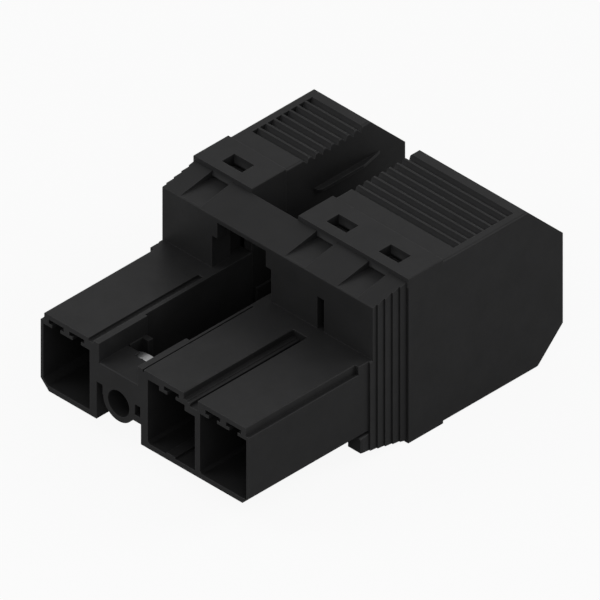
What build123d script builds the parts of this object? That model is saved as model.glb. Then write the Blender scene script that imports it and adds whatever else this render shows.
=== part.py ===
from build123d import *
import os

os.makedirs("parts", exist_ok=True)

# Three-pole pluggable connector for a circuit board, with a screw flange in its second place.
# x runs along the row of places, y from the mating face to the wire entries, z up.
# The origin is under the middle of the outside box, on the plane that the plug rests on.

# Row of places
pitch = 10.16
places = 4
flange_place = 1
pole_places = (0, 2, 3)

# Lengths along y
pod_length = 23.9
collar_length = 6.45
seam = 0.05
block_length = 30.0

# Outside heights
block_height = 27.7
pod_lift = 4.25
pod_height = 12.85

# Pods: the two long sleeves that enter the header
pod_side_inset = 0.05
pod_gap = 8.64
pod_floor = 0.85
pod_edge_round = 0.18
single_pod_chamfer = 1.6
double_pod_chamfer = 1.27
shoulder_width = 0.7
shoulder_drop = 1.35
rail_width = 0.6
rail_channel_width = 0.96
rail_channel_depth = 0.45
strip_width = 0.37
strip_groove_width = 0.26
rebate_length = 21.35
root_length = 27.8
channel_offset = 2.45
channel_width = 2.8
channel_depth = 1.7
channel_ledge_width = 0.72
channel_ledge_depth = 1.05
channel_shelf_width = 1.25
channel_shelf_depth = 1.17
pad_length = 9.45
pad_height = 6.4
single_pad_proud = 0.45
double_pad_proud = 0.61

# Chambers in the pods, with keyways in the roof
chamber_width = 9.05
chamber_height = 10.05
chamber_corner = 0.35
divider_wall = 0.95
chamber_length = 21.0
low_ceiling_drop = 0.95
low_ceiling_width = 2.0
keyway_offset = 2.0
middle_keyway_offset = 0.1
keyway_mouth = 1.65
keyway_width = 2.95
keyway_lip = 0.5
keyway_depth = 1.18
side_pocket_width = 2.25
side_pocket_depth = 0.7
floor_rib_width = 1.7
floor_rib_height = 0.3

# Flange between the pods
flange_axis_lift = 4.72
ring_radius = 2.97
flange_bore = 4.2
bridge_height = 9.7
bridge_depth = 5.7
bridge_round = 0.3
bridge_slot_width = 1.2
bridge_slot_height = 6.3
web_bottom = 3.35
web_top = 4.4
window_inset = 0.1
window_width = 1.1
window_height = 1.8
plate_radius = 5.05
plate_width = 6.6
plate_thickness = 1.4
plate_seat_depth = 4.8
plate_clearance = 0.15
hook_gap = 0.25
hook_thickness = 0.65
hook_reach = 1.1
hook_length = 3.3
hook_nose = 0.95
hook_bottom = 7.1
hook_top = 9.8

# Flange screw
screw_diameter = 3.0
screw_clearance = 0.15
screw_tip_inset = 3.2
screw_head_diameter = 5.6
screw_head_height = 1.8
screw_head_gap = 0.15
screw_slot_width = 0.8
screw_slot_depth = 1.0
screw_edge = 0.3

# Collar behind the pods
collar_side_proud = 0.26
collar_front_top = 21.6
collar_rear_top = 22.78
collar_flank_start = 23.3
collar_lip = 0.25
foot_front = 21.4
foot_front_drop = 1.6
foot_rear_drop = 3.8
foot_leg_width = 2.45
collar_round = 0.5
collar_edge_round = 0.2
driver_slot_half_width = 5.77
driver_slot_step_half_width = 4.75
driver_slot_step = 18.2
driver_slot_top = 20.85
driver_slot_floor = 0.6
driver_recess_start = 27.5
driver_recess_depth = 0.9
key_slot_offset = 0.15
key_slot_width = 1.33
key_slot_depth = 1.6
grip_pitch = 1.46
grip_depth = 0.22
grip_lines = 5

# Latch tongues that join the two mouldings
tongue_width = 3.6
tongue_thickness = 1.2
tongue_top = 21.6
tongue_hook_height = 0.95
tongue_hook_length = 2.0
tongue_clearance = 0.15

# Terminal blocks
gap_half_width = 4.65
block_side_proud = 0.63
band_length = 6.7
band_top_proud = 0.4
band_bottom_proud = 0.3
band_inner_proud = 0.165
band_edge_radius = 0.15
block_edge_radius = 0.4
top_chamfer = 6.74
bottom_chamfer = 5.13
block_web_height = 2.2
block_web_length = 20.0
window_opening_width = 3.9
window_opening_length = 2.45
window_opening_start = 1.77
tooth_pitch = 1.5
tooth_depth = 0.9
tooth_ramp = 0.9
tooth_notch = 1.2
teeth = 8
teeth_start = 10.06
teeth_margin = 1.35
teeth_overrun = 0.5
ledge_top = 17.3
ledge_height = 0.5
ledge_proud = 0.9
ledge_length = 12.8
ledge_taper = 4.0
ledge_start = 12.3
inner_rib_proud = 0.51
inner_rib_top = 6.5
inner_rib_start = 0.7

# Space for the terminal of each pole
cavity_width = 8.4
cavity_length = 22.4
cavity_roof_wall = 3.15
wire_bore = 6.4
funnel_diameter = 8.4
funnel_depth = 3.2
passage_width = 7.4
passage_bottom = 2.2
passage_top = 10.2

# Current bar
bar_width = 6.4
bar_thickness = 1.6
bar_top_lift = 4.7
bar_seat_gap = 0.1
bar_front_inset = 24.6
bar_length = 27.0

# Socket contact and its over-spring
contact_axis_lift = 5.9
contact_width = 6.2
contact_sheet = 0.8
contact_mouth_inset = 11.2
contact_length = 12.0
contact_half_height = 2.3
contact_pinch_half = 0.95
contact_flare = 0.75
contact_pinch_inset = 2.2
contact_slit = 0.6
contact_slit_share = 0.62
tail_length = 5.0
tail_width = 4.6
tail_clearance = 0.15
over_spring_sheet = 0.4
over_spring_gap = 0.08

# Clamp
frame_sheet = 0.7
frame_width = 7.4
frame_start = 38.0
frame_length = 12.0
frame_pusher_gap = 0.4
spring_sheet = 0.8
spring_width = 5.6
spring_bend = 1.3
spring_knee = 1.25
spring_tip_forward = 4.6
spring_tip_gap = 0.35
spring_ear_reach = 3.75
spring_ear_shares = (0.4, 0.6)

# Release pusher
pusher_width = 5.4
pusher_clearance = 0.2
pusher_height = 2.9
pusher_foot = 0.3
pusher_inset = 0.5
pusher_shoulder_length = 2.4
pusher_arm_width = 0.8
pusher_arm_inner = 3.1
pusher_arm_bottom = 9.35
pusher_nose_reach = 1.2
pusher_nose_length = 1.6

# Places worked out from the sizes above
row_width = places * pitch
overall_length = pod_length + collar_length + seam + block_length
mating_y = -overall_length / 2
collar_y = mating_y + pod_length
collar_rear_y = collar_y + collar_length
block_y = collar_rear_y + seam
rear_y = block_y + block_length
left_x = -row_width / 2
right_x = row_width / 2
pod_z = pod_lift
pod_top_z = pod_z + pod_height
flank_x = row_width / 2 + block_side_proud
rest_bottom_z = band_bottom_proud
rest_top_z = block_height - band_top_proud


def place_x(place):
    """Centre of one place of the row."""
    return (place - (places - 1) / 2) * pitch


def above(height):
    """Height over the pods' underside, as a z value."""
    return pod_z + height


def behind(distance):
    """Distance behind the mating face, as a y value."""
    return mating_y + distance


pole_x = [place_x(place) for place in pole_places]
flange_x = place_x(flange_place)
flange_z = above(flange_axis_lift)


def closed_outline(points):
    """Flat face inside a closed outline of 3-D points."""
    return make_face(Polyline(*points, close=True))


def along_y(outline, start, end):
    """Extrudes an outline of (x, z) points from start to end."""
    face = closed_outline([(x, start, z) for x, z in outline])
    return extrude(face, amount=end - start, dir=(0, 1, 0))


def along_x(outline, start, end):
    """Extrudes an outline of (y, z) points from start to end."""
    face = closed_outline([(start, y, z) for y, z in outline])
    return extrude(face, amount=end - start, dir=(1, 0, 0))


def brick(x, y, z):
    """Plain block between pairs of limits."""
    size = Box(x[1] - x[0], y[1] - y[0], z[1] - z[0])
    return Pos((x[0] + x[1]) / 2, (y[0] + y[1]) / 2, (z[0] + z[1]) / 2) * size


def rod(x, z, radius, start, end):
    """Round bar along y."""
    turned = Rot(90, 0, 0) * Cylinder(radius, end - start)
    return Pos(x, (start + end) / 2, z) * turned


def strip(points, bend, sheet, x, width):
    """Bent sheet metal: a centreline of (y, z) points, with one inside bend radius."""
    line = FilletPolyline(*points, radius=bend + sheet / 2)
    section = Plane.YZ * trace(line, line_width=sheet)
    return Pos(x, 0, 0) * extrude(section, amount=width / 2, both=True)


def lying_along_y(solid, across):
    """Edges parallel to y whose distance from the middle of the row is at least across."""
    edges = solid.edges().filter_by(Axis.Y)
    return edges.filter_by(lambda edge: abs(edge.center().X) >= across)


def rounded_at(solid, corners, radius):
    """Rounds the edges parallel to y that pass through the given (x, z) corners."""
    chosen = []
    for edge in solid.edges().filter_by(Axis.Y):
        middle = edge.center()
        if any(abs(middle.X - x) + abs(middle.Z - z) < radius / 10 for x, z in corners):
            chosen.append(edge)
    return fillet(chosen, radius)


# Mating pods

single_left = left_x + pod_side_inset
single_right = flange_x - pod_gap / 2
double_left = flange_x + pod_gap / 2
double_right = right_x - pod_side_inset
shoulder_z = pod_top_z - shoulder_drop
ceiling_z = above(pod_floor + chamber_height)
channel_left = pole_x[1] + channel_offset
shelf_x = channel_left + channel_shelf_width
shelf_z = pod_top_z - channel_shelf_depth


def keyway(centre):
    """Corner points of one T-shaped keyway, from right to left along the ceiling."""
    lip_z = ceiling_z + keyway_lip
    top_z = ceiling_z + keyway_depth
    half_mouth = keyway_mouth / 2
    half_width = keyway_width / 2
    right = [(half_mouth, ceiling_z), (half_mouth, lip_z), (half_width, lip_z), (half_width, top_z)]
    left = [(-x, z) for x, z in reversed(right)]
    return [(centre + x, z) for x, z in right + left]


def single_pod_outline():
    """Section of the narrow pod along its rebated stretch."""
    chamfer = single_pod_chamfer
    shoulder_x = single_left + shoulder_width
    rail_x = single_right - rail_width
    channel_x = rail_x - rail_channel_width
    channel_z = pod_top_z - rail_channel_depth
    return [
        (single_left + chamfer, pod_z),
        (single_right, pod_z),
        (single_right, pod_top_z),
        (rail_x, pod_top_z),
        (rail_x, channel_z),
        (channel_x, channel_z),
        (channel_x, pod_top_z),
        (shoulder_x, pod_top_z),
        (shoulder_x, shoulder_z),
        (single_left, shoulder_z),
        (single_left, pod_z + chamfer),
    ]


def double_pod_outline():
    """Section of the wide pod along its rebated stretch."""
    chamfer = double_pod_chamfer
    shoulder_x = double_right - shoulder_width
    strip_x = double_left + strip_width
    groove_x = strip_x + strip_groove_width
    groove_z = pod_top_z - rail_channel_depth
    ledge_x = channel_left + channel_ledge_width
    ledge_z = pod_top_z - channel_ledge_depth
    channel_end = channel_left + channel_width
    channel_z = pod_top_z - channel_depth
    return [
        (double_left, pod_z),
        (double_right - chamfer, pod_z),
        (double_right, pod_z + chamfer),
        (double_right, shoulder_z),
        (shoulder_x, shoulder_z),
        (shoulder_x, pod_top_z),
        (channel_end, pod_top_z),
        (channel_end, channel_z),
        (shelf_x, channel_z),
        (shelf_x, shelf_z),
        (ledge_x, shelf_z),
        (ledge_x, ledge_z),
        (channel_left, ledge_z),
        (channel_left, pod_top_z),
        (groove_x, pod_top_z),
        (groove_x, groove_z),
        (strip_x, groove_z),
        (strip_x, pod_top_z),
        (double_left, pod_top_z),
    ]


def chamber_outline(left, right, keyways, corner, low_ceiling, side_pocket):
    """Section of one chamber, open at the mating face."""
    floor_z = above(pod_floor)
    ceiling = []
    if low_ceiling:
        low_z = ceiling_z - low_ceiling_drop
        start_x = right - low_ceiling_width
        ceiling += [(right, low_z), (start_x, low_z), (start_x, ceiling_z)]
    else:
        ceiling += [(right, ceiling_z)]
    for centre in sorted(keyways, reverse=True):
        ceiling += keyway(centre)
    if side_pocket:
        pocket_z = ceiling_z + side_pocket_depth
        pocket_x = left + side_pocket_width
        ceiling += [(pocket_x, ceiling_z), (pocket_x, pocket_z), (left, pocket_z)]
    else:
        ceiling += [(left, ceiling_z)]
    return [(left, floor_z + corner), (left + corner, floor_z), (right, floor_z)] + ceiling


def chamber_limits():
    """Left and right wall of each chamber, from the narrow pod to the wide one."""
    half = chamber_width / 2
    limits = [(x - half, x + half) for x in pole_x]
    limits[1] = (limits[1][0], limits[2][0] - divider_wall)
    return limits


def pods():
    """Both pods as solid sleeves, up to the middle of the collar."""
    rebate_y = behind(rebate_length)
    root_y = behind(root_length)
    single = along_y(single_pod_outline(), mating_y, rebate_y)
    single_corners = [(single_left + shoulder_width, pod_top_z), (single_left, shoulder_z)]
    single = rounded_at(single, single_corners, pod_edge_round)
    double = along_y(double_pod_outline(), mating_y, rebate_y)
    double_corners = [
        (double_right - shoulder_width, pod_top_z),
        (double_right, shoulder_z),
        (channel_left, pod_top_z),
        (shelf_x, shelf_z),
    ]
    double = rounded_at(double, double_corners, pod_edge_round)
    single_root = [
        (single_left + single_pod_chamfer, pod_z),
        (single_right, pod_z),
        (single_right, pod_top_z),
        (single_left, pod_top_z),
        (single_left, pod_z + single_pod_chamfer),
    ]
    double_root = [
        (double_left, pod_z),
        (double_right - double_pod_chamfer, pod_z),
        (double_right, pod_z + double_pod_chamfer),
        (double_right, pod_top_z),
        (double_left, pod_top_z),
    ]
    single += rounded_at(along_y(single_root, rebate_y, root_y), [(single_left, pod_top_z)], pod_edge_round)
    double += rounded_at(along_y(double_root, rebate_y, root_y), [(double_right, pod_top_z)], pod_edge_round)
    return single + double


def pads():
    """Raised pads on the pods' flanks, over the bridge."""
    y = (mating_y, behind(pad_length))
    z = (pod_top_z - pad_height, pod_top_z)
    single = brick((single_right, single_right + single_pad_proud), y, z)
    double = brick((double_left - double_pad_proud, double_left), y, z)
    return single + double


def chambers():
    """Everything that is open inside the pods: chambers, keyways and terminal passages."""
    limits = chamber_limits()
    pair = (-keyway_offset, keyway_offset)
    keys = [pair, (middle_keyway_offset,), pair]
    corners = [single_pod_chamfer / 2, chamber_corner, chamber_corner]
    hollow = None
    for index, (left, right) in enumerate(limits):
        centres = [pole_x[index] + offset for offset in keys[index]]
        middle = index == 1
        outline = chamber_outline(left, right, centres, corners[index], middle, middle)
        space = along_y(outline, mating_y, behind(chamber_length))
        passage = brick(
            (pole_x[index] - passage_width / 2, pole_x[index] + passage_width / 2),
            (behind(chamber_length), collar_rear_y),
            (above(passage_bottom), above(passage_top)),
        )
        hollow = space + passage if hollow is None else hollow + space + passage
    return hollow


def floor_rib():
    """Low rib on the floor of the middle chamber."""
    half = floor_rib_width / 2
    y = (mating_y, behind(chamber_length))
    z = (above(pod_floor), above(pod_floor + floor_rib_height))
    return brick((pole_x[1] - half, pole_x[1] + half), y, z)


def collar():
    """Flared collar behind the pods, with its driver slot, guide ribs and grip lines."""
    foot_y = behind(foot_front)
    flank_y = behind(collar_flank_start)
    side = [
        (foot_y, pod_z - foot_front_drop),
        (collar_rear_y, pod_z - foot_rear_drop),
        (collar_rear_y, above(collar_rear_top)),
        (collar_y, above(collar_front_top)),
        (collar_y, pod_top_z),
        (flank_y, pod_top_z),
        (flank_y, above(pod_floor)),
        (foot_y, above(pod_floor)),
    ]
    left = left_x - collar_side_proud
    right = right_x + collar_side_proud
    body = along_x(side, left, right)
    crossing = body.edges().filter_by(Axis.X)
    brow = crossing.filter_by(lambda edge: edge.center().Z > above(driver_slot_top)).sort_by(Axis.Y)[0]
    body = fillet(brow, collar_edge_round)
    body = fillet(lying_along_y(body, row_width / 4), collar_round)
    body -= brick((left + foot_leg_width, right - foot_leg_width), (foot_y, flank_y), (0, above(pod_floor)))
    half = driver_slot_half_width
    step_half = driver_slot_step_half_width
    step_z = above(driver_slot_step)
    opening = [
        (flange_x - pod_gap / 2, above(driver_slot_floor)),
        (flange_x + pod_gap / 2, above(driver_slot_floor)),
        (flange_x + pod_gap / 2, pod_top_z),
        (flange_x + half, pod_top_z),
        (flange_x + half, step_z),
        (flange_x + step_half, step_z),
        (flange_x + step_half, above(driver_slot_top)),
        (flange_x - step_half, above(driver_slot_top)),
        (flange_x - step_half, step_z),
        (flange_x - half, step_z),
        (flange_x - half, pod_top_z),
        (flange_x - pod_gap / 2, pod_top_z),
    ]
    body -= along_y(opening, collar_y, collar_rear_y)
    gap_x = (flange_x - pod_gap / 2, flange_x + pod_gap / 2)
    body -= brick(gap_x, (foot_y, collar_y), (above(driver_slot_floor), pod_top_z))
    recess_half = half + driver_recess_depth
    body -= brick(
        (flange_x - recess_half, flange_x + recess_half),
        (behind(driver_recess_start), collar_rear_y),
        (pod_top_z, step_z),
    )
    slot_x = (pole_x[1] + pole_x[2]) / 2 + key_slot_offset
    slot = brick(
        (slot_x - key_slot_width / 2, slot_x + key_slot_width / 2),
        (collar_y, collar_y + key_slot_depth),
        (pod_top_z, step_z),
    )
    body -= slot
    for x in pole_x:
        recess = brick(
            (x - window_opening_width / 2, x + window_opening_width / 2),
            (collar_y + collar_lip, collar_rear_y),
            (above(collar_front_top), above(collar_rear_top)),
        )
        body -= recess
    return body


def grip_grooves():
    """Grip lines down both flanks: each facet slopes inwards to a small riser that faces the header."""
    low = pod_z - foot_rear_drop - grip_pitch
    high = above(collar_rear_top) + grip_pitch
    cuts = None
    for side in (-1, 1):
        face_x = side * (row_width / 2 + collar_side_proud)
        for line in range(grip_lines):
            riser = behind(collar_flank_start) + line * grip_pitch
            notch = [
                (face_x, riser - grip_pitch),
                (face_x - side * grip_depth, riser),
                (face_x, riser),
            ]
            face = closed_outline([(x, y, low) for x, y in notch])
            groove = extrude(face, amount=high - low, dir=(0, 0, 1))
            cuts = groove if cuts is None else cuts + groove
    return cuts


def bridge():
    """Flange between the pods: a bridge with a ring round the screw."""
    outline = [
        (single_right, above(bridge_slot_height)),
        (single_right + bridge_slot_width, above(bridge_slot_height)),
        (single_right + bridge_slot_width, flange_z),
        (flange_x, flange_z),
        (flange_x, above(web_bottom)),
        (double_left, above(web_bottom)),
        (double_left, above(bridge_height)),
        (single_right, above(bridge_height)),
    ]
    rear = behind(bridge_depth)
    body = along_y(outline, mating_y, rear)
    top = body.edges().filter_by(Axis.X).group_by(Axis.Z)[-1].sort_by(Axis.Y)[0]
    body = fillet(top, bridge_round)
    body += rod(flange_x, flange_z, ring_radius, mating_y, rear)
    window_right = double_left - window_inset
    window = brick(
        (window_right - window_width, window_right),
        (mating_y, rear),
        (above(web_top), above(web_top + window_height)),
    )
    seat = plate_blank(plate_radius + plate_clearance, plate_width + 2 * plate_clearance)
    body -= window
    body -= extrude(seat, amount=bridge_depth, dir=(0, 1, 0))
    body -= rod(flange_x, flange_z, flange_bore / 2, mating_y, rear)
    return body


def plate_blank(radius, width):
    """Arched outline of the retaining plate, on its seat in the bridge."""
    seat_y = behind(plate_seat_depth)
    half = width / 2
    low = flange_z - ring_radius
    shoulder = flange_z + (radius ** 2 - half ** 2) ** 0.5
    left = (flange_x - half, seat_y, low)
    right = (flange_x + half, seat_y, low)
    top_left = (flange_x - half, seat_y, shoulder)
    top_right = (flange_x + half, seat_y, shoulder)
    crown = (flange_x, seat_y, flange_z + radius)
    edges = [
        Line(left, right),
        Line(right, top_right),
        ThreePointArc(top_right, crown, top_left),
        Line(top_left, left),
    ]
    return make_face(Curve() + edges)


def snap_hooks():
    """Two arms on the pods' flanks, with noses that trap the retaining plate."""
    start = behind(bridge_depth) + hook_gap
    end = start + hook_length
    z = (above(hook_bottom), above(hook_top))
    arms = None
    for side, wall_x in ((1, single_right), (-1, double_left)):
        arm_x = wall_x + side * hook_thickness
        nose_x = arm_x + side * hook_reach
        arm = brick(sorted((wall_x, arm_x)), (start, end), z)
        nose = brick(sorted((wall_x, nose_x)), (end - hook_nose, end), z)
        arms = arm + nose if arms is None else arms + arm + nose
    return arms


def latch_tongues():
    """Spring tongues with hooks that reach into the windows of the terminal blocks."""
    top = above(tongue_top)
    end = block_y + window_opening_start + window_opening_length - tongue_clearance
    hook_start = end - tongue_hook_length
    side = [
        (collar_y + tongue_thickness, top - tongue_thickness),
        (end, top - tongue_thickness),
        (end, top),
        (hook_start, top + tongue_hook_height),
        (hook_start, top),
        (collar_y + tongue_thickness, top),
    ]
    tongues = None
    for x in pole_x:
        tongue = along_x(side, x - tongue_width / 2, x + tongue_width / 2)
        tongues = tongue if tongues is None else tongues + tongue
    return tongues


def front_housing():
    """Front moulding: pods, flange and collar in one piece."""
    body = pods() + pads() + collar() + bridge() + snap_hooks()
    body -= chambers()
    body += floor_rib()
    body += latch_tongues()
    body -= grip_grooves()
    return body


bar_top_z = above(bar_top_lift)
bar_bottom_z = bar_top_z - bar_thickness
wire_z = bar_top_z + bar_seat_gap + wire_bore / 2
cavity_rear_y = block_y + cavity_length
cavity_roof_z = rest_top_z - cavity_roof_wall
rear_face_bottom_z = rest_bottom_z + bottom_chamfer
rear_face_top_z = rest_top_z - top_chamfer
pusher_bottom_z = rear_face_top_z + pusher_foot + pusher_clearance
pusher_top_z = pusher_bottom_z + pusher_height


def chamfer_y(z):
    """Where the upper rear chamfer lies at one height."""
    return rear_y - (z - rear_face_top_z)


def rounded_run(x, y, z, radius):
    """Block between pairs of limits, with its edges along y rounded."""
    section = Rectangle(x[1] - x[0], z[1] - z[0])
    section = Pos((x[0] + x[1]) / 2, (z[0] + z[1]) / 2) * fillet(section.vertices(), radius)
    upright = Plane(origin=(0, y[0], 0), x_dir=(1, 0, 0), z_dir=(0, -1, 0)) * section
    return extrude(upright, amount=y[1] - y[0], dir=(0, 1, 0))


def block_side():
    """Side outline that both rear chamfers leave."""
    return [
        (block_y, 0),
        (rear_y - rear_face_bottom_z, 0),
        (rear_y, rear_face_bottom_z),
        (rear_y, rear_face_top_z),
        (chamfer_y(block_height), block_height),
        (block_y, block_height),
    ]


def grip_teeth(start_x, end_x):
    """Saw-tooth grooves across the top of a block, with narrow flat crests between them."""
    grooves = None
    first = block_y + teeth_start
    for tooth in range(teeth):
        y = first + tooth * tooth_pitch
        notch = [
            (y, rest_top_z),
            (y + tooth_ramp, rest_top_z - tooth_depth),
            (y + tooth_notch, rest_top_z),
            (y + tooth_notch / 2, rest_top_z + tooth_depth),
        ]
        groove = along_x(notch, start_x, end_x)
        grooves = groove if grooves is None else grooves + groove
    return grooves


def side_ledge(wall_x):
    """Finger ledge on the flank of the single block, with a round nose and a tapered end."""
    top = above(ledge_top)
    start = block_y + ledge_start
    outer_x = wall_x + ledge_proud
    nose = (wall_x, start, top)
    nose_side = (outer_x, start + ledge_proud, top)
    bulge = ledge_proud * 0.5 ** 0.5
    nose_middle = (wall_x + bulge, start + ledge_proud - bulge, top)
    taper = (outer_x, start + ledge_length - ledge_taper, top)
    tail = (wall_x, start + ledge_length, top)
    edges = [ThreePointArc(nose, nose_middle, nose_side), Line(nose_side, taper), Line(taper, tail), Line(tail, nose)]
    return extrude(make_face(Curve() + edges), amount=ledge_height, dir=(0, 0, -1))


def terminal_spaces():
    """Cavities, wire funnels, pusher channels and latch windows of every pole."""
    spaces = None
    for x in pole_x:
        cavity = brick(
            (x - cavity_width / 2, x + cavity_width / 2),
            (block_y, cavity_rear_y),
            (bar_bottom_z - bar_seat_gap, cavity_roof_z),
        )
        funnel_plane = Plane(origin=(x, rear_y, wire_z), x_dir=(1, 0, 0), z_dir=(0, 1, 0))
        mouth = funnel_plane * Circle(funnel_diameter / 2)
        throat = funnel_plane.offset(-funnel_depth) * Circle(wire_bore / 2)
        funnel = loft([throat, mouth])
        bore = rod(x, wire_z, wire_bore / 2, cavity_rear_y, rear_y)
        channel = brick(
            (x - pusher_width / 2 - pusher_clearance, x + pusher_width / 2 + pusher_clearance),
            (cavity_rear_y, rear_y),
            (pusher_bottom_z - pusher_clearance, pusher_top_z + pusher_clearance),
        )
        window_start = block_y + window_opening_start
        window = brick(
            (x - window_opening_width / 2, x + window_opening_width / 2),
            (window_start, window_start + window_opening_length),
            (above(tongue_top) - tongue_thickness, block_height),
        )
        pocket = brick(
            (x - window_opening_width / 2, x + window_opening_width / 2),
            (block_y, window_start + window_opening_length),
            (above(tongue_top) - tongue_thickness - tongue_clearance, above(tongue_top) + tongue_clearance),
        )
        space = cavity + funnel + bore + channel + window + pocket
        spaces = space if spaces is None else spaces + space
    return spaces


def terminal_housing():
    """Rear moulding: a single and a double terminal block on one web."""
    single_inner = flange_x - gap_half_width
    double_inner = flange_x + gap_half_width
    rest_z = (rest_bottom_z, rest_top_z)
    rest_y = (block_y, rear_y)
    band_y = (block_y, block_y + band_length)
    band_z = (0, block_height)
    radius = block_edge_radius
    blocks = rounded_run((-flank_x, single_inner), rest_y, rest_z, radius)
    blocks += rounded_run((double_inner, flank_x), rest_y, rest_z, radius)
    blocks += rounded_run((-flank_x, single_inner + band_inner_proud), band_y, band_z, band_edge_radius)
    blocks += rounded_run((double_inner - band_inner_proud, flank_x), band_y, band_z, band_edge_radius)
    blocks = blocks & along_x(block_side(), -row_width, row_width)
    blocks -= grip_teeth(teeth_margin - flank_x, single_inner + teeth_overrun)
    blocks -= grip_teeth(double_inner - teeth_overrun, flank_x - teeth_margin)
    blocks += side_ledge(single_inner)
    web = brick(
        (single_inner - radius, double_inner + radius),
        (block_y, block_y + block_web_length),
        (rest_bottom_z, block_web_height),
    )
    blocks += web
    rib = brick(
        (single_inner - radius, single_inner + inner_rib_proud),
        (block_y + inner_rib_start, block_y + block_web_length),
        (rest_bottom_z, above(inner_rib_top)),
    )
    blocks += rib
    return blocks - terminal_spaces()


# Metal parts of one pole

def current_bar(x):
    """Copper bar from the socket contact to the clamp."""
    start = behind(bar_front_inset)
    return brick((x - bar_width / 2, x + bar_width / 2), (start, start + bar_length), (bar_bottom_z, bar_top_z))


def contact_line(spread):
    """Upper half of the contact's centreline, from the bend at the rear to the mouth."""
    axis = above(contact_axis_lift)
    mouth = behind(contact_mouth_inset)
    rear = mouth + contact_length
    pinch = mouth + contact_pinch_inset
    return [
        (rear, axis),
        (rear, axis + contact_half_height + spread),
        (rear - contact_length / 3, axis + contact_half_height + spread),
        (pinch, axis + contact_pinch_half + spread),
        (mouth, axis + contact_pinch_half + contact_flare + spread),
    ]


def mirrored_line(line):
    """Full centreline: the lower half in mirror image, then the upper half."""
    axis = above(contact_axis_lift)
    lower = [(y, 2 * axis - z) for y, z in reversed(line[1:])]
    return lower + line[1:]


def socket_contact(x):
    """Forked spring socket that takes the header's blade, with its tail on the bar."""
    line = mirrored_line(contact_line(0))
    body = strip(line, contact_sheet / 2, contact_sheet, x, contact_width)
    axis = above(contact_axis_lift)
    mouth = behind(contact_mouth_inset)
    slit = brick(
        (x - contact_slit / 2, x + contact_slit / 2),
        (mouth - contact_sheet, mouth + contact_length * contact_slit_share),
        (axis - 2 * contact_half_height, axis + 2 * contact_half_height),
    )
    body -= slit
    start = mouth + contact_length
    tail = brick(
        (x - tail_width / 2, x + tail_width / 2),
        (start, start + tail_length),
        (bar_top_z, bar_top_z + contact_sheet),
    )
    return body + tail


def over_spring(x):
    """Steel spring that hugs the socket from outside and presses its leaves together."""
    spread = (contact_sheet + over_spring_sheet) / 2 + over_spring_gap
    upper = contact_line(spread)
    rear = upper[0][0] + spread
    axis = upper[0][1]
    upper = [(rear, axis), (rear, upper[1][1])] + upper[2:4]
    line = mirrored_line(upper)
    body = strip(line, contact_sheet, over_spring_sheet, x, contact_width)
    half = tail_width / 2 + tail_clearance
    window = brick(
        (x - half, x + half),
        (rear - contact_sheet, rear + contact_sheet),
        (bar_top_z - tail_clearance, bar_top_z + contact_sheet + tail_clearance),
    )
    return body - window


def clamp_frame(x):
    """Steel bracket that ties the bar to the back of the clamp spring."""
    start = behind(frame_start)
    top = pusher_bottom_z - frame_pusher_gap
    bottom = bar_top_z
    side = [
        (start, bottom),
        (start + frame_sheet, bottom),
        (start + frame_sheet, top - frame_sheet),
        (start + frame_length, top - frame_sheet),
        (start + frame_length, top),
        (start, top),
    ]
    body = along_x(side, x - spring_width / 2, x + spring_width / 2)
    half = frame_width / 2
    front = brick((x - half, x + half), (start, start + frame_sheet), (bottom, top))
    window = brick(
        (x - wire_bore / 2, x + wire_bore / 2),
        (start, start + frame_sheet),
        (bottom + frame_sheet, wire_z + wire_bore / 2),
    )
    return body + front - window


def spring_points():
    """Centreline of the clamp spring: fixed leg, rear loop and clamping leg."""
    start = behind(frame_start) + frame_sheet + spring_tip_gap
    end = behind(frame_start) + frame_length + spring_sheet / 2
    top = pusher_bottom_z - frame_pusher_gap - frame_sheet - spring_sheet / 2
    loop = 2 * (spring_bend + spring_sheet / 2)
    tip = (behind(frame_start) + spring_tip_forward, bar_top_z + spring_tip_gap)
    knee = (end - loop / 2, top - loop * spring_knee)
    return [(start, top), (end, top), (end, top - loop), knee, tip]


def clamp_spring(x):
    """Bent leaf spring that presses the wire on the bar, with ears for the pusher."""
    points = spring_points()
    body = strip(points, spring_bend / 2, spring_sheet, x, spring_width)
    knee, tip = points[3], points[4]
    ear = [along(knee, tip, share) for share in spring_ear_shares]
    section = Plane.YZ * trace(Line(*ear), line_width=spring_sheet)
    ears = Pos(x, 0, 0) * extrude(section, amount=spring_ear_reach, both=True)
    return body + ears


def along(start, end, share):
    """Point part of the way from start to end."""
    return tuple(a + (b - a) * share for a, b in zip(start, end))


def release_pusher(x):
    """Pusher that runs in the upper channel and straddles the clamp spring."""
    front_y = cavity_rear_y - pusher_clearance - pusher_shoulder_length
    nose_y = front_y - pusher_nose_reach
    body = along_x(
        [
            (front_y, pusher_bottom_z),
            (chamfer_y(pusher_bottom_z) - pusher_inset, pusher_bottom_z),
            (chamfer_y(pusher_top_z) - pusher_inset, pusher_top_z),
            (front_y, pusher_top_z),
        ],
        x - pusher_width / 2,
        x + pusher_width / 2,
    )
    shoulder_end = front_y + pusher_shoulder_length
    outer = pusher_arm_inner + pusher_arm_width
    cross = brick((x - outer, x + outer), (front_y, shoulder_end), (pusher_bottom_z, pusher_top_z))
    body += cross
    arm = [
        (nose_y, above(pusher_arm_bottom)),
        (nose_y + pusher_nose_length, above(pusher_arm_bottom)),
        (shoulder_end, pusher_bottom_z),
        (shoulder_end, pusher_top_z),
        (nose_y, pusher_top_z),
    ]
    for side in (-1, 1):
        limits = sorted((x + side * pusher_arm_inner, x + side * outer))
        body += along_x(arm, *limits)
    return body


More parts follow.
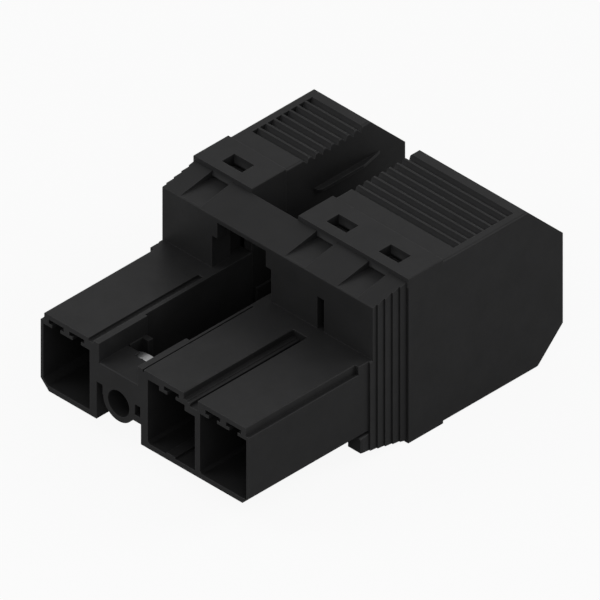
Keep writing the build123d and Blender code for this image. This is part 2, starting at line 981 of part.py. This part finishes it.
def retaining_plate():
    """Arched steel plate behind the ring, which keeps the screw in the flange."""
    plate = extrude(plate_blank(plate_radius, plate_width), amount=plate_thickness, dir=(0, 1, 0))
    seat_y = behind(plate_seat_depth)
    hole = screw_diameter / 2 + screw_clearance
    return plate - rod(flange_x, flange_z, hole, seat_y, seat_y + plate_thickness)


def flange_screw():
    """Captive screw with a slotted cheese head."""
    head_y = behind(plate_seat_depth) + plate_thickness + screw_head_gap
    end_y = head_y + screw_head_height
    shank = rod(flange_x, flange_z, screw_diameter / 2, behind(screw_tip_inset), head_y)
    shank = chamfer(shank.edges().filter_by(GeomType.CIRCLE).sort_by(Axis.Y)[0], screw_edge)
    head = rod(flange_x, flange_z, screw_head_diameter / 2, head_y, end_y)
    head = chamfer(head.edges().filter_by(GeomType.CIRCLE).sort_by(Axis.Y)[-1], screw_edge)
    half = screw_slot_width / 2
    reach = screw_head_diameter / 2
    slot = brick(
        (flange_x - reach, flange_x + reach),
        (end_y - screw_slot_depth, end_y),
        (flange_z - half, flange_z + half),
    )
    return shank + head - slot


pieces = {
    "front_housing": front_housing(),
    "terminal_housing": terminal_housing(),
    "retaining_plate": retaining_plate(),
    "flange_screw": flange_screw(),
}
for number, x in enumerate(pole_x, start=1):
    pieces[f"current_bar_{number}"] = current_bar(x)
    pieces[f"socket_contact_{number}"] = socket_contact(x)
    pieces[f"over_spring_{number}"] = over_spring(x)
    pieces[f"clamp_frame_{number}"] = clamp_frame(x)
    pieces[f"clamp_spring_{number}"] = clamp_spring(x)
    pieces[f"release_pusher_{number}"] = release_pusher(x)

for name, piece in pieces.items():
    piece.label = name
    export_step(piece, f"parts/{name}.step")
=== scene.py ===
# %% [markdown]
# A black pluggable connector for a circuit board. Two long sleeves enter the header, a screw
# flange sits between them, and behind a flared collar two ribbed blocks take the wires.
# The construction comes ready made, as a fixed frame of solids in metres. This lesson adds
# what the eye judges: moulded plastic, plated and rolled metal, the thread of the screw, the
# light and the camera. It starts with the frame and keeps its outside box.

# %% Load the frame
import math

import bmesh
import bpy
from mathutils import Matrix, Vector


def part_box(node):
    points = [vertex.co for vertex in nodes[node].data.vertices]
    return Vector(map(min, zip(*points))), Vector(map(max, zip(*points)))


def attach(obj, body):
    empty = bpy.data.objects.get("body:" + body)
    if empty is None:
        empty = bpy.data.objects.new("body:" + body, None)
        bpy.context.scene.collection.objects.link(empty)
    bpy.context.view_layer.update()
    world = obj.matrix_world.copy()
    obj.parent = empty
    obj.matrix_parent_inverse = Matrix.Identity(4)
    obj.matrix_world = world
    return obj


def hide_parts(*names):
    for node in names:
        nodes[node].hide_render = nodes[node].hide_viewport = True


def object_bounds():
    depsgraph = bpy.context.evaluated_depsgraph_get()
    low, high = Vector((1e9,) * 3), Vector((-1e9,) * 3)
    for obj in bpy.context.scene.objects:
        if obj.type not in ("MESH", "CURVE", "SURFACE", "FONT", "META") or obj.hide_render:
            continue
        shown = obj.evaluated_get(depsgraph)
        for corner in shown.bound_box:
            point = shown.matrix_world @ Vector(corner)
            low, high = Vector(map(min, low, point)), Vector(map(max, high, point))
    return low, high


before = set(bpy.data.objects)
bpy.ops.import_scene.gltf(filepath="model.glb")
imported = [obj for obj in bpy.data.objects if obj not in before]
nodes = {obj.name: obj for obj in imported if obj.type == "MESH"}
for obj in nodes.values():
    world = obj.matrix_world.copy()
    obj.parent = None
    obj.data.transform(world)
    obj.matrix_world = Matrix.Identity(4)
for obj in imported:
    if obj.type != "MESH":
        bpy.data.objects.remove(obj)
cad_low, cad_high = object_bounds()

MM = 0.001
print("nodes in the frame:", len(nodes))
print("outside box in mm:", [round(v / MM, 2) for v in (cad_high - cad_low)])

# %% [markdown]
# The picture is a true isometric view: parallel edges stay parallel, and the three axes are
# drawn at one scale. A camera with a lens can't give that, however far it stands, so this one
# is orthographic. It looks along the line that makes equal angles with the three axes, from
# the mating face's side and the right, at the middle of the outside box. Its scale is the
# width of the view in metres: the picture's pixels, divided by the pixels of one millimetre.

# %% Set the camera
PICTURE_WIDTH = 600
PIXELS_PER_MM = 7.269
CAMERA_DISTANCE = 0.4
NEAREST_SEEN = 0.01
FARTHEST_SEEN = 5.0

scene = bpy.context.scene
toward_camera = Vector((1, -1, 1)).normalized()
middle = (cad_low + cad_high) / 2

camera_data = bpy.data.cameras.new("camera")
camera_data.type = "ORTHO"
camera_data.ortho_scale = PICTURE_WIDTH / PIXELS_PER_MM * MM
camera_data.clip_start = NEAREST_SEEN
camera_data.clip_end = FARTHEST_SEEN
camera = bpy.data.objects.new("camera", camera_data)
camera.location = middle + toward_camera * CAMERA_DISTANCE
camera.rotation_mode = "QUATERNION"
camera.rotation_quaternion = (-toward_camera).to_track_quat("-Z", "Y")
scene.collection.objects.link(camera)
scene.camera = camera
scene.view_settings.view_transform = "Standard"
print("the view is", round(camera_data.ortho_scale / MM, 1), "mm wide")

# %% [markdown]
# The part stands in a white studio. Black plastic shows its shape by shadow in its hollows
# more than by direct light, so the main light is an even sky, as from a large light tent.
# The camera, and every mirror-like surface, sees that sky as plain white. A shader can tell
# such rays from the rays that carry the light: the Light Path node has a switch for each
# kind, and the larger of three switches chooses between white and the sky's own strength.

# %% Tell the rays apart
SKY_LIGHT = 0.5


def link(tree, output, socket):
    """Joins two sockets of one node tree."""
    tree.links.new(output, socket)


def seen_directly(tree):
    """A value of 1 for rays from the camera, from mirrors and through glass."""
    path = tree.nodes.new("ShaderNodeLightPath")
    total = path.outputs["Is Camera Ray"]
    for name in ("Is Glossy Ray", "Is Transmission Ray"):
        larger = tree.nodes.new("ShaderNodeMath")
        larger.operation = "MAXIMUM"
        link(tree, total, larger.inputs[0])
        link(tree, path.outputs[name], larger.inputs[1])
        total = larger.outputs[0]
    return total


print("sky light:", SKY_LIGHT)

# %% [markdown]
# A photographer's light tent is a closed room of white cloth. Many lamps round the part could
# imitate it, and so could a dome mesh that glows. The world's own background does the same
# with one node tree and never ends. It holds two plain backgrounds: a weaker one that lights
# the part, and one at full strength for whatever looks at it directly.


# %% Make the sky
def make_sky():
    """White to look at, and a soft light for everything else."""
    world = bpy.data.worlds.new("studio_sky")
    scene.world = world
    world.use_nodes = True
    tree = world.node_tree
    tree.nodes.clear()
    soft = tree.nodes.new("ShaderNodeBackground")
    soft.inputs["Strength"].default_value = SKY_LIGHT
    bright = tree.nodes.new("ShaderNodeBackground")
    bright.inputs["Strength"].default_value = 1.0
    mix = tree.nodes.new("ShaderNodeMixShader")
    out = tree.nodes.new("ShaderNodeOutputWorld")
    for shader in (soft, bright):
        shader.inputs["Color"].default_value = (1, 1, 1, 1)
    link(tree, seen_directly(tree), mix.inputs["Fac"])
    link(tree, soft.outputs[0], mix.inputs[1])
    link(tree, bright.outputs[0], mix.inputs[2])
    link(tree, mix.outputs[0], out.inputs["Surface"])
    return world


sky = make_sky()
print("sky:", sky.name)

# %% [markdown]
# The floor is a plain pale sheet. Half of what an upright flank faces is floor, so the floor's
# grey sets how much darker the flanks are than the tops. For the camera it mixes its paint
# with a white glow: the glow makes it look as white as the sky, and the rest of the paint
# keeps the part's soft shadow, which ties the part to the ground. Mirrored rays see the plain
# paint, because a glow that nothing can shade would shine into every gap from below.


# %% Lay the floor
FLOOR_SIZE = 2.0
FLOOR_GREY = 0.55
FLOOR_GLOW = 0.92
FLOOR_GAP = 0.02 * MM


def floor_paint():
    """Pale paint that glows white for the camera."""
    material = bpy.data.materials.new("pale_floor")
    material.use_nodes = True
    tree = material.node_tree
    tree.nodes.clear()
    paint = tree.nodes.new("ShaderNodeBsdfDiffuse")
    paint.inputs["Color"].default_value = (FLOOR_GREY, FLOOR_GREY, FLOOR_GREY, 1)
    glow = tree.nodes.new("ShaderNodeEmission")
    path = tree.nodes.new("ShaderNodeLightPath")
    share = tree.nodes.new("ShaderNodeMath")
    share.operation = "MULTIPLY"
    share.inputs[1].default_value = FLOOR_GLOW
    mix = tree.nodes.new("ShaderNodeMixShader")
    out = tree.nodes.new("ShaderNodeOutputMaterial")
    link(tree, path.outputs["Is Camera Ray"], share.inputs[0])
    link(tree, share.outputs[0], mix.inputs["Fac"])
    link(tree, paint.outputs[0], mix.inputs[1])
    link(tree, glow.outputs[0], mix.inputs[2])
    link(tree, mix.outputs[0], out.inputs["Surface"])
    return material


half = FLOOR_SIZE / 2
corners = [(-half, -half, 0), (half, -half, 0), (half, half, 0), (-half, half, 0)]
floor_mesh = bpy.data.meshes.new("floor")
floor_mesh.from_pydata(corners, [], [(0, 1, 2, 3)])
floor_mesh.materials.append(floor_paint())
floor = bpy.data.objects.new("floor", floor_mesh)
floor.location.z = cad_low.z - FLOOR_GAP
scene.collection.objects.link(floor)
print("floor at", round(floor.location.z / MM, 2), "mm")

# %% [markdown]
# Three lamps help the sky. The key lamp stands right behind the camera. It flattens the light:
# its shadows hide behind the part, so small grooves such as the grip teeth lose less light.
# The other two are for the edges. On a moulded part every edge is a little round, and
# somewhere on that round the surface points just right to throw a lamp at the camera. For the
# edges between tops and flanks that lamp stands behind on the right, and for those between
# tops and front faces it stands in front on the left. A smaller lamp gives a thinner line of
# light on the edge, at the same power.


# %% Hang the lamps
LAMP_DISTANCE = 0.5
KEY_SIZE = 0.3
KEY_POWER = 0.7
EDGE_LAMP_SIZE = 0.25
EDGE_LAMP_POWER = 0.75


def soft_lamp(name, aim_from, size, power):
    """A square lamp that looks at the middle of the part."""
    data = bpy.data.lights.new(name, "AREA")
    data.shape = "SQUARE"
    data.size = size
    data.energy = power
    lamp = bpy.data.objects.new(name, data)
    direction = Vector(aim_from).normalized()
    lamp.location = middle + direction * LAMP_DISTANCE
    lamp.rotation_mode = "QUATERNION"
    lamp.rotation_quaternion = (-direction).to_track_quat("-Z", "Y")
    scene.collection.objects.link(lamp)
    return lamp


key_lamp = soft_lamp("key_lamp", toward_camera, KEY_SIZE, KEY_POWER)
flank_lamp = soft_lamp("flank_lamp", (1, 1, 1), EDGE_LAMP_SIZE, EDGE_LAMP_POWER)
front_lamp = soft_lamp("front_lamp", (-1, -1, 1), EDGE_LAMP_SIZE, EDGE_LAMP_POWER)
print("lamps:", key_lamp.name, flank_lamp.name, front_lamp.name)

# %% [markdown]
# Every finish starts from one Principled shader, and a number that is the same all over the
# surface stands on the shader's own socket. What varies comes from noise in the object's own
# coordinates: it needs no picture and no unwrapping, and it stays in place when a piece
# moves. The scale of a noise counts its grains per metre, so it can be set from the size of
# the real grain. The Mix node has sockets for numbers, vectors and colours, and several share
# a name, so the two colours and their result are found by their place in the list.

# %% Helpers for a finish
COLOR_INPUTS = slice(6, 8)
COLOR_OUTPUT = 2


def new_material(name, color, roughness, metallic=0.0, specular=0.5):
    """A principled material with its constants set, and its node tree."""
    material = bpy.data.materials.new(name)
    material.use_nodes = True
    tree = material.node_tree
    shader = tree.nodes["Principled BSDF"]
    shader.inputs["Base Color"].default_value = (*color, 1)
    shader.inputs["Roughness"].default_value = roughness
    shader.inputs["Metallic"].default_value = metallic
    shader.inputs["Specular IOR Level"].default_value = specular
    material.diffuse_color = (*color, 1)
    return material, tree, shader


def noise(tree, grain, detail=2.0, stretch=(1, 1, 1)):
    """Noise with grains of this length; a stretch under 1 draws them out along an axis."""
    place = tree.nodes.new("ShaderNodeTexCoord")
    mapping = tree.nodes.new("ShaderNodeMapping")
    mapping.inputs["Scale"].default_value = stretch
    texture = tree.nodes.new("ShaderNodeTexNoise")
    texture.inputs["Scale"].default_value = 1 / grain
    texture.inputs["Detail"].default_value = detail
    link(tree, place.outputs["Object"], mapping.inputs["Vector"])
    link(tree, mapping.outputs["Vector"], texture.inputs["Vector"])
    return texture.outputs["Fac"]


def spread(tree, value, low, high, start=0.3, end=0.7):
    """Maps start to low, end to high and what lies between evenly.

    A noise keeps mostly between 0.3 and 0.7, so those are the usual start and end."""
    ranger = tree.nodes.new("ShaderNodeMapRange")
    ranger.inputs["From Min"].default_value = start
    ranger.inputs["From Max"].default_value = end
    ranger.inputs["To Min"].default_value = low
    ranger.inputs["To Max"].default_value = high
    link(tree, value, ranger.inputs["Value"])
    return ranger.outputs["Result"]


def blend(tree, share, first, second):
    """Mixes two colours, or the outputs that carry them, by a share from 0 to 1."""
    mixer = tree.nodes.new("ShaderNodeMix")
    mixer.data_type = "RGBA"
    link(tree, share, mixer.inputs["Factor"])
    for socket, color in zip(mixer.inputs[COLOR_INPUTS], (first, second)):
        if isinstance(color, tuple):
            socket.default_value = (*color, 1)
        else:
            link(tree, color, socket)
    return mixer.outputs[COLOR_OUTPUT]


def scaled(color, gain):
    """A colour made lighter or darker by a factor."""
    return tuple(part * gain for part in color)


print("helpers: a base shader, noise, ranges and blends")

# %% [markdown]
# No mould has a perfectly sharp corner, so no moulded edge is sharp either: it has a radius
# of about a tenth of a millimetre, and that thin round line is what catches the light. A
# real bevel on every edge of a solid with small ribs would cross itself. The Bevel node
# rounds only the direction of the surface near an edge, which is enough at this size. Where
# that direction turns from the plain one there is an edge, so the difference also gives a
# mask for a painted highlight: plastic and metal are painted lighter there. Only the edges
# that stand out get the painted highlight, though, never the bottom of a crease. An occlusion
# node with a very short reach tells the two apart: beside a crease it finds a wall, on a proud
# edge nothing.


# %% Round the edges in the shader
EDGE_RADIUS = 0.09 * MM
SURFACE_SAMPLES = 6
FLAT_LIKENESS = 0.995
EDGE_LIKENESS = 0.9
CREASE_REACH = 0.5 * MM
CREASE_OPENNESS = 0.75
PROUD_OPENNESS = 0.95


def rounded_normal(tree):
    """Direction of the surface with its sharp edges rounded over."""
    bevel = tree.nodes.new("ShaderNodeBevel")
    bevel.samples = SURFACE_SAMPLES
    bevel.inputs["Radius"].default_value = EDGE_RADIUS
    return bevel.outputs["Normal"]


def openness(tree, reach, own_mesh=False):
    """1 where nothing stands near the surface, less in creases and hollows."""
    occlusion = tree.nodes.new("ShaderNodeAmbientOcclusion")
    occlusion.samples = SURFACE_SAMPLES
    occlusion.only_local = own_mesh
    occlusion.inputs["Distance"].default_value = reach
    return occlusion.outputs["AO"]


def times(tree, first, second):
    """Product of two values."""
    product = tree.nodes.new("ShaderNodeMath")
    product.operation = "MULTIPLY"
    link(tree, first, product.inputs[0])
    link(tree, second, product.inputs[1])
    return product.outputs[0]


def edge_mask(tree, rounded, strength):
    """From 0 on flat stretches up to strength on the edges that stand out."""
    plain = tree.nodes.new("ShaderNodeNewGeometry")
    likeness = tree.nodes.new("ShaderNodeVectorMath")
    likeness.operation = "DOT_PRODUCT"
    link(tree, rounded, likeness.inputs[0])
    link(tree, plain.outputs["Normal"], likeness.inputs[1])
    alike = likeness.outputs["Value"]
    near = openness(tree, CREASE_REACH)
    edge = spread(tree, alike, 0.0, strength, start=FLAT_LIKENESS, end=EDGE_LIKENESS)
    proud = spread(tree, near, 0.0, 1.0, start=CREASE_OPENNESS, end=PROUD_OPENNESS)
    return times(tree, edge, proud)


def relief(tree, shader, height, depth, normal):
    """Fine relief on the rounded surface; depth is in metres."""
    bump = tree.nodes.new("ShaderNodeBump")
    bump.inputs["Distance"].default_value = depth
    link(tree, height, bump.inputs["Height"])
    link(tree, normal, bump.inputs["Normal"])
    link(tree, bump.outputs["Normal"], shader.inputs["Normal"])


print("edge radius in mm:", round(EDGE_RADIUS / MM, 2))

# %% [markdown]
# Two places need more than one tone. Deep gaps and chambers lie between black walls, and the
# picture shows them darker than an open sky leaves them. An occlusion node with a long reach
# finds them: it looks at the piece's own mesh only, so the floor doesn't count as a wall, and
# where it finds walls it paints shade into the colour. The gloss stays one number. The grip
# teeth come second. In the picture their faces, which look at the header, are nearly as light
# as their crests, and here they come out darker. The plastic itself is hardly lighter there:
# the real faces probably lean back more and so catch more light. Painted light, a lighter
# tone, stands in for that slope, and it grows towards the bottom of each groove. It is painted
# on, so it is right for this picture and only nearly right from other sides. The mask needs
# only the height on the piece and the direction of the face.

# %% Masks for painted shade in gaps and painted light on the grip teeth
HOLLOW_REACH = 20 * MM
# How dark the painted shade in the deepest gaps is.
PAINTED_SHADE_TONE = 0.55
HOLLOW_START = 0.3
HOLLOW_END = 0.7
GRIP_BOTTOM = 26.1 * MM
GRIP_TOP = 27.2 * MM
GRIP_SOFT = 0.1 * MM
LEANING = -0.3
UPRIGHT = -0.8
# Gains of the painted light on the grip teeth, at the bottom and at the top of the grooves.
GRIP_LOW_GAIN = 3.0
GRIP_HIGH_GAIN = 1.25


def lit_share(tree):
    """1 on open faces, less in the deep gaps of the piece, where shade is painted in."""
    opening = openness(tree, HOLLOW_REACH, own_mesh=True)
    return spread(tree, opening, PAINTED_SHADE_TONE, 1.0, start=HOLLOW_START, end=HOLLOW_END)


def component(tree, vector, axis):
    """One component of a vector."""
    parts = tree.nodes.new("ShaderNodeSeparateXYZ")
    link(tree, vector, parts.inputs["Vector"])
    return parts.outputs[axis]


def grip_faces(tree, surface, color):
    """Paints light onto faces that look at the header, high up, where the grip teeth are."""
    place = tree.nodes.new("ShaderNodeTexCoord")
    geometry = tree.nodes.new("ShaderNodeNewGeometry")
    height = component(tree, place.outputs["Object"], "Z")
    facing = component(tree, geometry.outputs["Normal"], "Y")
    high = spread(tree, height, 0.0, 1.0, start=GRIP_BOTTOM, end=GRIP_BOTTOM + GRIP_SOFT)
    forward = spread(tree, facing, 0.0, 1.0, start=LEANING, end=UPRIGHT)
    rise = spread(tree, height, 0.0, 1.0, start=GRIP_BOTTOM, end=GRIP_TOP)
    faces = blend(tree, rise, scaled(color, GRIP_LOW_GAIN), scaled(color, GRIP_HIGH_GAIN))
    return blend(tree, times(tree, high, forward), surface, faces)


print("masks reach", round(HOLLOW_REACH / MM), "mm into gaps")

# %% [markdown]
# The housings are glass-filled nylon, moulded in black. Their moulds are spark-eroded, which
# prints a fine satin grain of small pits on the plastic, so it hardly mirrors anything. The
# tone is never one even grey either: glass and pigment flow unevenly, in faint clouds a few
# millimetres wide. Three noises give that: clouds in the tone, patches in the roughness and
# the grain itself as relief. The edges get a painted highlight, a shade lighter.


# %% Black nylon for the housings
CLOUD = 4.0 * MM
CLOUD_DETAIL = 3
CLOUD_GAINS = (0.92, 1.08)
PATCH = 1.1 * MM
PATCH_DETAIL = 4
PATCH_ROUGHNESS = 0.05
GRAIN = 0.075 * MM
GRAIN_DEPTH = 0.006 * MM
BLUE_GAIN = 1.02
# How much lighter the painted highlight on the edges is, and how strongly it shows.
EDGE_HIGHLIGHT_GAIN = 2.8
EDGE_HIGHLIGHT_SHARE = 0.9
# The colour that the painted shade in deep gaps blends towards.
PAINTED_SHADE_BLACK = (0.0, 0.0, 0.0)
HOUSING_TONE = 0.0155
HOUSING_ROUGHNESS = 0.43
HOUSING_SPECULAR = 0.085


def black_nylon(name, tone, roughness, specular, with_teeth_light=False):
    """Satin black nylon; tone is its mean brightness."""
    color = (tone, tone, tone * BLUE_GAIN)
    material, tree, shader = new_material(name, color, roughness, specular=specular)
    clouds = spread(tree, noise(tree, CLOUD, CLOUD_DETAIL), 0, 1)
    body = blend(tree, clouds, *(scaled(color, gain) for gain in CLOUD_GAINS))
    rounded = rounded_normal(tree)
    # The proud edges get a painted highlight: a lighter colour.
    edge_highlight = edge_mask(tree, rounded, EDGE_HIGHLIGHT_SHARE)
    surface = blend(tree, edge_highlight, body, scaled(color, EDGE_HIGHLIGHT_GAIN))
    # Deep gaps get painted shade, blended towards black.
    surface = blend(tree, lit_share(tree), PAINTED_SHADE_BLACK, surface)
    # On the grip teeth, painted light lightens the faces.
    if with_teeth_light:
        surface = grip_faces(tree, surface, color)
    link(tree, surface, shader.inputs["Base Color"])
    patches = noise(tree, PATCH, PATCH_DETAIL)
    smooth, rough = roughness - PATCH_ROUGHNESS, roughness + PATCH_ROUGHNESS
    link(tree, spread(tree, patches, smooth, rough), shader.inputs["Roughness"])
    relief(tree, shader, noise(tree, GRAIN), GRAIN_DEPTH, rounded)
    return material


housing_look = (HOUSING_TONE, HOUSING_ROUGHNESS, HOUSING_SPECULAR)
housing_black = black_nylon("black_nylon", *housing_look)
teeth_light_black = black_nylon("teeth_painted_light_nylon", *housing_look, with_teeth_light=True)
print("housing finishes:", housing_black.name, teeth_light_black.name)

# %% [markdown]
# The pushers are the same nylon with more gloss: fingers and screwdrivers press on them, and
# they slide in the housing, so their mould is polished.

# %% Glossier nylon for the pushers
PUSHER_TONE = 0.0165
PUSHER_ROUGHNESS = 0.36
PUSHER_SPECULAR = 0.13

pusher_look = (PUSHER_TONE, PUSHER_ROUGHNESS, PUSHER_SPECULAR)
pusher_black = black_nylon("black_pusher_nylon", *pusher_look)
print("pusher finish:", pusher_black.name)

# %% [markdown]
# The metals are plated or rolled strip. A rolled strip has fine lines along the way it went
# through the mill, and a plated one has a softer, cloudier grain. Both come from one noise. It
# is drawn out a long way for rolled metal and less for plated strip, and left round for the
# screw. It moves the colour, the roughness and a very shallow relief together, as real marks
# do, and the punched edges get a painted highlight, a brighter colour.


# %% One recipe for the metals
MARK_DETAIL = 3
MARK_GAIN = 0.84
# How strongly, and how much brighter, the painted highlight on metal edges is.
METAL_HIGHLIGHT_SHARE = 0.5
METAL_HIGHLIGHT_GAIN = 1.3
SMOOTHER = -0.06
ROUGHER = 0.08


def metal(name, color, roughness, grain, stretch, depth):
    """Plated or rolled metal with its grain and a painted highlight on its edges."""
    material, tree, shader = new_material(name, color, roughness, metallic=1.0)
    marks = noise(tree, grain, MARK_DETAIL, stretch)
    body = blend(tree, spread(tree, marks, 0, 1), scaled(color, MARK_GAIN), color)
    rounded = rounded_normal(tree)
    # The proud edges get a painted highlight: a brighter colour.
    bright = edge_mask(tree, rounded, METAL_HIGHLIGHT_SHARE)
    highlight_color = scaled(color, METAL_HIGHLIGHT_GAIN)
    link(tree, blend(tree, bright, body, highlight_color), shader.inputs["Base Color"])
    patches = spread(tree, marks, roughness + SMOOTHER, roughness + ROUGHER)
    link(tree, patches, shader.inputs["Roughness"])
    relief(tree, shader, marks, depth, rounded)
    return material


DEEPER_MARKS = 0.003 * MM
FINER_MARKS = 0.002 * MM

zinc = metal(
    "bright_zinc", (0.34, 0.34, 0.345),
    roughness=0.38, grain=0.35 * MM, stretch=(1, 1, 0.4), depth=DEEPER_MARKS,
)
rolled = metal(
    "rolled_spring_steel", (0.5, 0.49, 0.47),
    roughness=0.28, grain=0.4 * MM, stretch=(1, 0.08, 1), depth=FINER_MARKS,
)
tinned = metal(
    "tinned_copper", (0.72, 0.7, 0.66),
    roughness=0.35, grain=0.55 * MM, stretch=(1, 0.2, 1), depth=DEEPER_MARKS,
)
print("strip metals:", zinc.name, rolled.name, tinned.name)

# %% [markdown]
# The flange screw is taken to be blackened steel: its head is hidden in the picture. A thin
# oxide stands in place of zinc. It is dark and only a little glossy, and the crests of the
# thread get a painted highlight, a shade lighter, as every edge of the metals does.

# %% Black oxide for the screw
blackened = metal(
    "black_oxide", (0.045, 0.045, 0.048),
    roughness=0.4, grain=0.25 * MM, stretch=(1, 1, 1), depth=FINER_MARKS,
)
print("screw finish:", blackened.name)

# %% [markdown]
# Each piece gets its finish by its name. The three poles repeat the same six pieces, with
# the pole's number at the end, so one table without the numbers serves all of them.

# %% Give each node its finish
FINISHES = {
    "front_housing": housing_black,
    "terminal_housing": teeth_light_black,
    "retaining_plate": zinc,
    "flange_screw": blackened,
    "current_bar": tinned,
    "socket_contact": tinned,
    "over_spring": rolled,
    "clamp_frame": zinc,
    "clamp_spring": rolled,
    "release_pusher": pusher_black,
}


def finish_of(node_name):
    """The finish of a node, by its name without the pole's number."""
    return FINISHES[node_name.rstrip("_0123456789")]


for node_name, node in nodes.items():
    node.data.materials.clear()
    node.data.materials.append(finish_of(node_name))
print("dressed nodes:", len(nodes))

# %% [markdown]
# In the frame the flange screw is a plain rod with a head. The real one has a rolled metric
# thread. A thread could be a long helical sweep, but its ends are hard to close. This way
# keeps one closed skin: a tube of many rings round the axis, where the radius of each point
# depends only on its phase, which is how far along one turn of the helix it lies, from 0 to
# 1. The middle of the turn gives the groove and both its ends the crest, so neighbouring
# turns share a crest. A limit near the tip makes the lead-in.

# %% Radius of the threaded rod
THREAD_PITCH = 0.5 * MM
THREAD_DEPTH = 0.27 * MM
CREST_SHARE = 0.2
ROOT_SHARE = 0.15
LEAD_IN = 0.35 * MM

screw_low, screw_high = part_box("flange_screw")
screw_x = (screw_low.x + screw_high.x) / 2
screw_z = (screw_low.z + screw_high.z) / 2
HEAD_RADIUS = (screw_high.x - screw_low.x) / 2
THREAD_RADIUS = 1.5 * MM
HEAD_HEIGHT = 1.8 * MM
print("screw from", round(screw_low.y / MM, 2), "to", round(screw_high.y / MM, 2), "mm")


def thread_radius(angle, along):
    """Radius of the rod at an angle round it and a distance from its tip."""
    phase = (along / THREAD_PITCH - angle / math.tau) % 1.0
    slope = abs(phase - 0.5) * 2
    height = (slope - ROOT_SHARE) / (1 - CREST_SHARE - ROOT_SHARE)
    height = min(1.0, max(0.0, height))
    radius = THREAD_RADIUS - THREAD_DEPTH * (1 - height)
    lead = THREAD_RADIUS - LEAD_IN + along
    return min(radius, lead)


print("radius at the tip in mm:", round(thread_radius(0, 0) / MM, 2))

# %% [markdown]
# The skin is a stack of rings, each with the same number of points, and neighbouring rings
# are joined by quads. The rod's rings take their radii from the thread, and the head's from a
# short list of distances and radii: a chamfer under the head, its side, and a rounded rear
# edge. Both ends are closed by one face, so the result is a solid that a cutter can work on.


# %% Make the screw's skin
TURN_STEPS = 60
RINGS_PER_PITCH = 12
HEAD_CHAMFER = 0.1 * MM
HEAD_EDGE = 0.3 * MM
HEAD_EDGE_STEPS = 5


def ring(mesh, y, radius_of):
    """One ring of points round the screw's axis."""
    points = []
    for step in range(TURN_STEPS):
        angle = math.tau * step / TURN_STEPS
        radius = radius_of(angle)
        x = screw_x + radius * math.cos(angle)
        z = screw_z + radius * math.sin(angle)
        points.append(mesh.verts.new((x, y, z)))
    return points


def head_profile():
    """Distances from the tip and radii of the head, with a rounded rear edge."""
    start = screw_high.y - HEAD_HEIGHT
    rows = [(start, HEAD_RADIUS - HEAD_CHAMFER), (start + HEAD_CHAMFER, HEAD_RADIUS)]
    for step in range(HEAD_EDGE_STEPS + 1):
        turn = math.pi / 2 * step / HEAD_EDGE_STEPS
        y = screw_high.y - HEAD_EDGE * (1 - math.sin(turn))
        rows.append((y, HEAD_RADIUS - HEAD_EDGE * (1 - math.cos(turn))))
    return rows


def screw_skin():
    """Closed skin of rod and head, as a mesh."""
    mesh = bmesh.new()
    head_start = screw_high.y - HEAD_HEIGHT
    rod_length = head_start - screw_low.y
    count = max(2, round(rod_length / THREAD_PITCH * RINGS_PER_PITCH))
    rings = []
    for index in range(count + 1):
        along = rod_length * index / count
        rings.append(ring(mesh, screw_low.y + along, lambda angle: thread_radius(angle, along)))
    for y, radius in head_profile():
        rings.append(ring(mesh, y, lambda angle: radius))
    for first, second in zip(rings, rings[1:]):
        for step in range(TURN_STEPS):
            after = (step + 1) % TURN_STEPS
            mesh.faces.new((first[step], first[after], second[after], second[step]))
    mesh.faces.new(rings[0])
    mesh.faces.new(list(reversed(rings[-1])))
    bmesh.ops.recalc_face_normals(mesh, faces=mesh.faces)
    data = bpy.data.meshes.new("threaded_screw")
    mesh.to_mesh(data)
    mesh.free()
    return data


screw = bpy.data.objects.new("threaded_screw", screw_skin())
scene.collection.objects.link(screw)
print("screw skin:", len(screw.data.polygons), "faces")

# %% [markdown]
# The slot is milled across the head. A Boolean modifier cuts it exactly: the cutter is a
# long box through the head, and once the result is stored in the mesh the cutter goes. Then
# the piece takes the frame's place: it replaces the plain screw, which stays in the physics,
# and rides on the same body, so the thread turns with the joint.

# %% Mill the slot
SLOT_WIDTH = 0.8 * MM
SLOT_DEPTH = 1.0 * MM
CUTTER_REACH = 1.2
SMOOTH_ANGLE = math.radians(30)


def long_box(name, low, high):
    """A box between two corners, as an object."""
    mesh = bmesh.new()
    bmesh.ops.create_cube(mesh, size=1.0)
    for vertex in mesh.verts:
        for axis in range(3):
            vertex.co[axis] = low[axis] if vertex.co[axis] < 0 else high[axis]
    data = bpy.data.meshes.new(name)
    mesh.to_mesh(data)
    mesh.free()
    made = bpy.data.objects.new(name, data)
    scene.collection.objects.link(made)
    return made


reach = HEAD_RADIUS * CUTTER_REACH
slot_low = (screw_x - reach, screw_high.y - SLOT_DEPTH, screw_z - SLOT_WIDTH / 2)
slot_high = (screw_x + reach, screw_high.y + SLOT_DEPTH, screw_z + SLOT_WIDTH / 2)
cutter = long_box("slot_cutter", slot_low, slot_high)
cut = screw.modifiers.new("slot", "BOOLEAN")
cut.operation = "DIFFERENCE"
cut.solver = "EXACT"
cut.object = cutter
bpy.context.view_layer.update()
evaluated = screw.evaluated_get(bpy.context.evaluated_depsgraph_get())
milled = bpy.data.meshes.new_from_object(evaluated)
screw.modifiers.clear()
screw.data = milled
bpy.data.objects.remove(cutter)
screw.data.shade_smooth()
screw.data.set_sharp_from_angle(angle=SMOOTH_ANGLE)
screw.data.materials.clear()
screw.data.materials.append(blackened)
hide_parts("flange_screw")
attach(screw, "screw")
print("milled screw:", len(screw.data.polygons), "faces")
